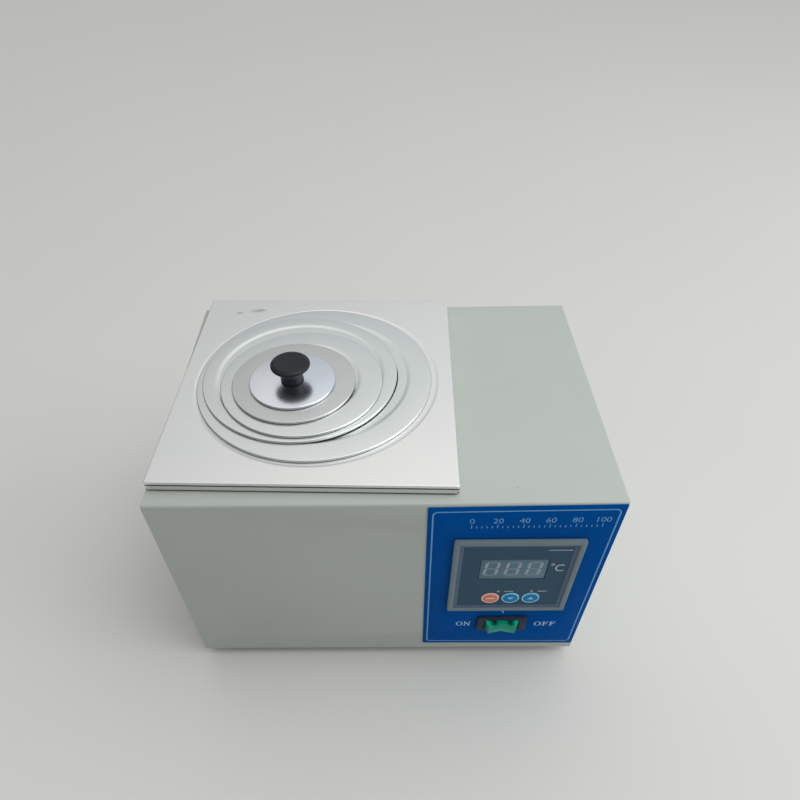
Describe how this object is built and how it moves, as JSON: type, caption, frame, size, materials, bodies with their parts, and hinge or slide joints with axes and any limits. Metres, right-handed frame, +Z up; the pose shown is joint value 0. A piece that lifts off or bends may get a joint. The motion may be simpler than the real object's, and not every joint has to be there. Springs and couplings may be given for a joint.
{
  "type": "laboratory water bath",
  "caption": "Bench-top thermostatic water bath: sheet-steel case, one tank opening under a lid plate with concentric rings and a knobbed centre lid, and a panel controller with a rocker switch",
  "frame": {"origin": "under the middle of the part, at the height of the feet's undersides", "axes": "+X right along the case's length, +Y to the rear, +Z up"},
  "size_m": [0.25, 0.1944, 0.1902],
  "materials": {
    "case_paint": "speckled satin paint",
    "plate_metal": "satin stainless sheet",
    "ring_metal": "semi-bright stainless sheet",
    "dark_ring_metal": "semi-bright stainless sheet",
    "steel": "plain steel",
    "black_plastic": "smooth black plastic",
    "foot_rubber": "matt rubber",
    "label": "printed film",
    "bezel_plastic": "satin grey plastic",
    "face_film": "dark film",
    "smoked_lens": "clear over a dark display",
    "red_button": "satin",
    "blue_button": "satin",
    "lamp_lens": "pale lens",
    "rocker_plastic": "translucent green",
    "board": "lacquered board",
    "brass": "plain brass",
    "wool": "mineral wool",
    "lead_red": "wire sleeve",
    "lead_blue": "wire sleeve",
    "lead_white": "wire sleeve",
    "lead_green": "wire sleeve"
  },
  "bodies": {
    "case": {"case_shell": "case_paint", "side_panel_left": "case_paint", "side_panel_right": "case_paint", "base_plate": "case_paint", "foot_1": "foot_rubber", "foot_screw_1": "steel", "foot_2": "foot_rubber", "foot_screw_2": "steel", "foot_3": "foot_rubber", "foot_screw_3": "steel", "foot_4": "foot_rubber", "foot_screw_4": "steel", "display_module": "black_plastic", "controller_housing": "black_plastic", "terminal_block": "black_plastic", "switch_frame": "black_plastic", "inlet_body": "black_plastic", "fuse_holder": "black_plastic", "tank": "steel", "heater_tube": "steel", "sensor_probe": "steel", "clip_upper": "steel", "clip_lower": "steel", "rocker_pin": "steel", "panel_label": "label", "controller_bezel": "bezel_plastic", "controller_face": "face_film", "display_window": "smoked_lens", "indicator_output": "lamp_lens", "indicator_alarm": "lamp_lens", "circuit_board": "board", "insulation": "wool", "heater_nut_front": "brass", "heater_nut_rear": "brass", "sensor_nut": "brass", "switch_terminal_1": "brass", "switch_terminal_2": "brass", "inlet_pin_live": "brass", "inlet_pin_neutral": "brass", "inlet_pin_earth": "brass", "earth_stud": "brass", "heater_lead_front": "lead_red", "mains_lead": "lead_red", "heater_lead_rear": "lead_blue", "sensor_lead": "lead_white", "earth_lead": "lead_green"},
    "lid_plate": {"lid_plate": "plate_metal"},
    "ring_1": {"ring_1": "ring_metal"},
    "ring_2": {"ring_2": "ring_metal"},
    "ring_3": {"ring_3": "ring_metal"},
    "ring_4": {"ring_4": "dark_ring_metal"},
    "centre_lid": {"centre_lid": "ring_metal", "knob": "black_plastic", "knob_screw": "steel"},
    "shelf": {"shelf": "steel"},
    "rocker": {"rocker": "rocker_plastic"},
    "button_set": {"button_set": "red_button"},
    "button_down": {"button_down": "blue_button"},
    "button_up": {"button_up": "blue_button"}
  },
  "joints": [
    {"name": "lid_plate_lift", "type": "slide", "parent": "case", "child": "lid_plate", "axis": [0, 0, 1], "range_m": [0, 0.06]},
    {"name": "ring_1_lift", "type": "slide", "parent": "lid_plate", "child": "ring_1", "axis": [0, 0, 1], "range_m": [0, 0.03]},
    {"name": "ring_2_lift", "type": "slide", "parent": "ring_1", "child": "ring_2", "axis": [0, 0, 1], "range_m": [0, 0.03]},
    {"name": "ring_3_lift", "type": "slide", "parent": "ring_2", "child": "ring_3", "axis": [0, 0, 1], "range_m": [0, 0.03]},
    {"name": "ring_4_lift", "type": "slide", "parent": "ring_3", "child": "ring_4", "axis": [0, 0, 1], "range_m": [0, 0.03]},
    {"name": "centre_lid_lift", "type": "slide", "parent": "ring_4", "child": "centre_lid", "axis": [0, 0, 1], "range_m": [0, 0.04]},
    {"name": "shelf_lift", "type": "slide", "parent": "case", "child": "shelf", "axis": [0, 0, 1], "range_m": [0, 0.06]},
    {"name": "rocker_tip", "type": "hinge", "parent": "case", "child": "rocker", "pos_m": [0.074, -0.09045, 0.0444], "axis": [0, 0, -1], "range_deg": [-9, 9]},
    {"name": "button_set_press", "type": "slide", "parent": "case", "child": "button_set", "axis": [0, 1, 0], "range_m": [0, 0.0006], "stiffness_N_per_m": 400},
    {"name": "button_down_press", "type": "slide", "parent": "case", "child": "button_down", "axis": [0, 1, 0], "range_m": [0, 0.0006], "stiffness_N_per_m": 400},
    {"name": "button_up_press", "type": "slide", "parent": "case", "child": "button_up", "axis": [0, 1, 0], "range_m": [0, 0.0006], "stiffness_N_per_m": 400}
  ]
}
